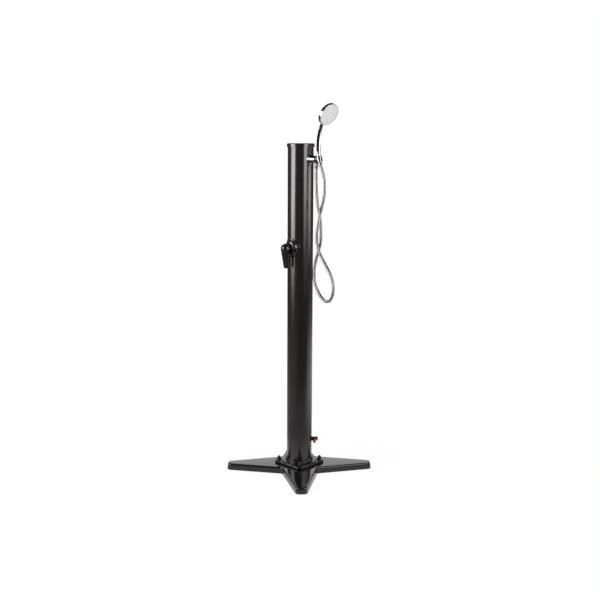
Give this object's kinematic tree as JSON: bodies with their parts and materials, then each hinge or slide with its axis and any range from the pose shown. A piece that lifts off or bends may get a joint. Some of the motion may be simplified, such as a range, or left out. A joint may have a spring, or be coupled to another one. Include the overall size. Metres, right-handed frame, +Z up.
{
  "type": "solar shower",
  "caption": "Free-standing solar shower: round dark water tank on a four-armed foot, with a lever mixer, a hand shower in a leaning holder and a metal hose.",
  "frame": {"origin": "on the ground, under the tank's axis", "axes": "+Z up along the tank's axis; the front is -Y and the four arms lie along X and Y"},
  "size_m": [0.702, 0.702, 1.7445],
  "materials": {
    "base_plastic": "glossy black moulding",
    "ballast": "painted grey casting",
    "steel": "zinc plated",
    "rubber": "matt",
    "black_metal": "gloss black coating",
    "tank": "dark brown black, glossy",
    "brass": "turned",
    "pipe_white": "plain",
    "pipe_red": "plain",
    "chrome": "polished",
    "hose_metal": "polished spiral",
    "face_grey": "satin pale grey",
    "nozzle": "soft grey",
    "red": "glossy red",
    "black_plastic": "satin"
  },
  "bodies": {
    "stand": {"base_cross": "base_plastic", "base_ballast": "ballast", "ballast_screws": "steel", "base_feet": "rubber", "foot_flange": "black_metal", "flange_bolts": "steel", "flange_washers": "black_plastic", "flange_cap_nuts": "black_metal", "collar_screws": "steel", "tank_tube": "tank", "bottom_plug": "black_plastic", "bottom_seal": "rubber", "top_plug": "black_plastic", "top_seal": "rubber", "top_cap": "base_plastic", "inlet_gasket": "rubber", "inlet_body": "brass", "inlet_locknut": "brass", "inlet_spigot": "black_plastic", "cold_pipe": "pipe_white", "hot_pipe": "pipe_red", "mixed_pipe": "pipe_white", "mixer_gasket": "rubber", "mixer_rosette": "black_metal", "mixer_body": "brass", "mixer_locknut": "brass", "outlet_gasket": "rubber", "outlet_barrel": "chrome", "outlet_locknut": "brass", "cradle_ring": "chrome", "outlet_washer": "rubber", "hose_nut_outlet": "chrome", "hose": "hose_metal", "drain_gasket": "rubber", "drain_body": "black_plastic", "drain_locknut": "black_plastic"},
    "mixer_turn": {"mixer_head": "black_metal", "lever_pin": "steel"},
    "lever_tilt": {"lever": "black_metal", "lever_index": "red"},
    "handset": {"handset_shell": "chrome", "hose_nut_handset": "chrome", "face_ring": "face_grey"},
    "spray_selector": {"spray_face": "face_grey", "nozzles": "nozzle", "face_cap": "face_grey"},
    "drain_valve": {"drain_ball": "chrome", "drain_stem": "steel", "drain_handle": "red", "drain_nut": "steel"}
  },
  "joints": [
    {"name": "mixer_turn", "type": "hinge", "parent": "stand", "child": "mixer_turn", "pos_m": [-0.05592, -0.04692, 1.087], "axis": [-0.766, -0.6428, 0], "range_deg": [-45, 45]},
    {"name": "lever_tilt", "type": "hinge", "parent": "mixer_turn", "child": "lever_tilt", "pos_m": [-0.06588, -0.05528, 1.087], "axis": [-0.6428, 0.766, 0], "range_deg": [0, 25]},
    {"name": "handset_lift", "type": "slide", "parent": "stand", "child": "handset", "axis": [-0.1949, 0.1949, 0.9613], "range_m": [0, 0.04]},
    {"name": "spray_selector", "type": "hinge", "parent": "handset", "child": "spray_selector", "pos_m": [0.12388, -0.12388, 1.69228], "axis": [0.6184, -0.6184, -0.4848], "range_deg": [-60, 60]},
    {"name": "drain_handle", "type": "hinge", "parent": "stand", "child": "drain_valve", "pos_m": [0.0775, 0, 0.149], "axis": [0, -1, 0], "range_deg": [0, 90]}
  ]
}
